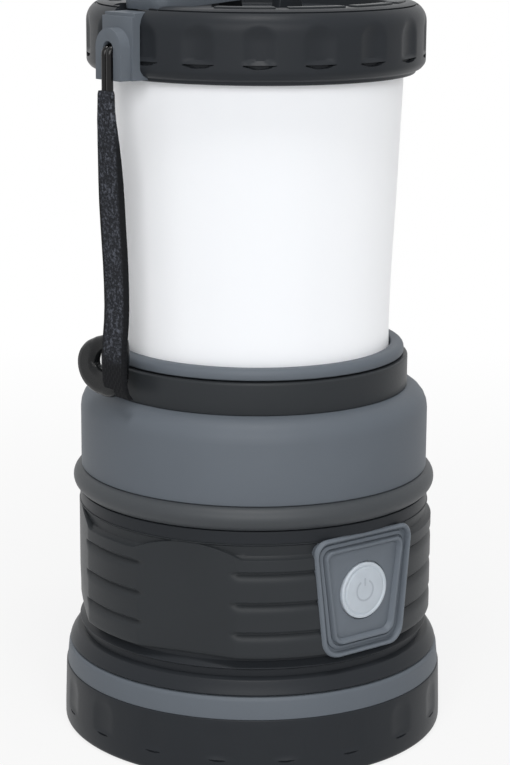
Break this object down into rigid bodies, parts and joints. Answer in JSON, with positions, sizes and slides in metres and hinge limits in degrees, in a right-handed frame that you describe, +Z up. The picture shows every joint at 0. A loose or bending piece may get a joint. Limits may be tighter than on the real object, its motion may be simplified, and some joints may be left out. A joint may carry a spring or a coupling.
{
  "type": "camping lantern",
  "caption": "Battery camping lantern: grey and black housing over D cells, opal globe under a fluted lid, folding hang loop, wrist strap and a folding hook under the foot.",
  "frame": {"origin": "centre of the foot's bottom face, on the lantern's axis", "axes": "+Z up along the lantern's axis, -Y towards the front, with the power button to the right of it, +X to the right seen from the front"},
  "size_m": [0.0966, 0.0966, 0.1896],
  "materials": {
    "black_abs": "satin",
    "grey_abs": "satin",
    "black_rubber": "matte",
    "opal": "translucent satin",
    "button_clear": "translucent gloss",
    "circuit_board": "satin",
    "board_parts": "matte",
    "cell_wrap": "gloss wrap",
    "contact_brass": "satin",
    "sink_aluminium": "satin",
    "light_white": "white coat",
    "light_yellow": "gloss",
    "screw_steel": "satin",
    "silvered": "silvered gloss",
    "webbing": "woven",
    "cord": "smooth"
  },
  "bodies": {
    "housing": {"battery_housing": "black_abs", "grip_jacket": "black_rubber", "bumper_ring": "black_rubber", "shoulder_shell": "grey_abs", "collar_band": "black_rubber", "button_bezel": "grey_abs", "button_plate": "grey_abs", "switch_board": "circuit_board", "tact_switch": "board_parts", "cell_1": "cell_wrap", "cell_2": "cell_wrap", "cell_3": "cell_wrap", "cell_cradle": "black_abs", "upper_contacts": "contact_brass", "lower_contacts": "contact_brass", "battery_plate": "black_abs", "base_seal": "black_rubber", "driver_board": "circuit_board", "driver_parts": "board_parts", "heat_sink": "sink_aluminium", "light_board": "light_white", "light_chips": "light_yellow", "light_floor": "opal", "floor_screws": "screw_steel"},
    "button": {"power_button": "button_clear"},
    "globe": {"globe_ring": "grey_abs", "diffuser": "opal", "lid_shell": "black_abs", "rim_pads": "black_rubber", "lid_liner": "opal", "lid_screws": "screw_steel", "reflector_cone": "silvered", "strap_bracket": "grey_abs", "strap_pin": "screw_steel", "loop_pin": "screw_steel"},
    "loop": {"hang_loop": "grey_abs"},
    "strap": {"strap_cord": "cord", "strap_crimp": "black_rubber", "strap_webbing": "webbing", "strap_end_loop": "black_rubber"},
    "base": {"foot_cover": "black_abs", "foot_ring": "grey_abs", "hook_pin": "screw_steel"},
    "hook": {"base_hook": "grey_abs"}
  },
  "joints": [
    {"name": "button_press", "type": "slide", "parent": "housing", "child": "button", "axis": [-0.6157, 0.788, 0], "range_m": [0, 0.0004], "stiffness_N_per_m": 3000},
    {"name": "globe_twist", "type": "hinge", "parent": "housing", "child": "globe", "pos_m": [0, 0, 0.09], "axis": [0, 0, 1], "range_deg": [0, 30]},
    {"name": "hang_loop_swing", "type": "hinge", "parent": "globe", "child": "loop", "pos_m": [0, 0, 0.1862], "axis": [-0.6691, 0.7431, 0], "range_deg": [0, 165]},
    {"name": "strap_swing", "type": "hinge", "parent": "globe", "child": "strap", "pos_m": [-0.03314, -0.02984, 0.1717], "axis": [-0.6691, 0.7431, 0], "range_deg": [0, 95]},
    {"name": "base_twist", "type": "hinge", "parent": "housing", "child": "base", "pos_m": [0, 0, 0.0108], "axis": [0, 0, 1], "range_deg": [0, 30]},
    {"name": "base_hook_fold", "type": "hinge", "parent": "base", "child": "hook", "pos_m": [0, 0, 0.0034], "axis": [1, 0, 0], "range_deg": [0, 95]}
  ]
}
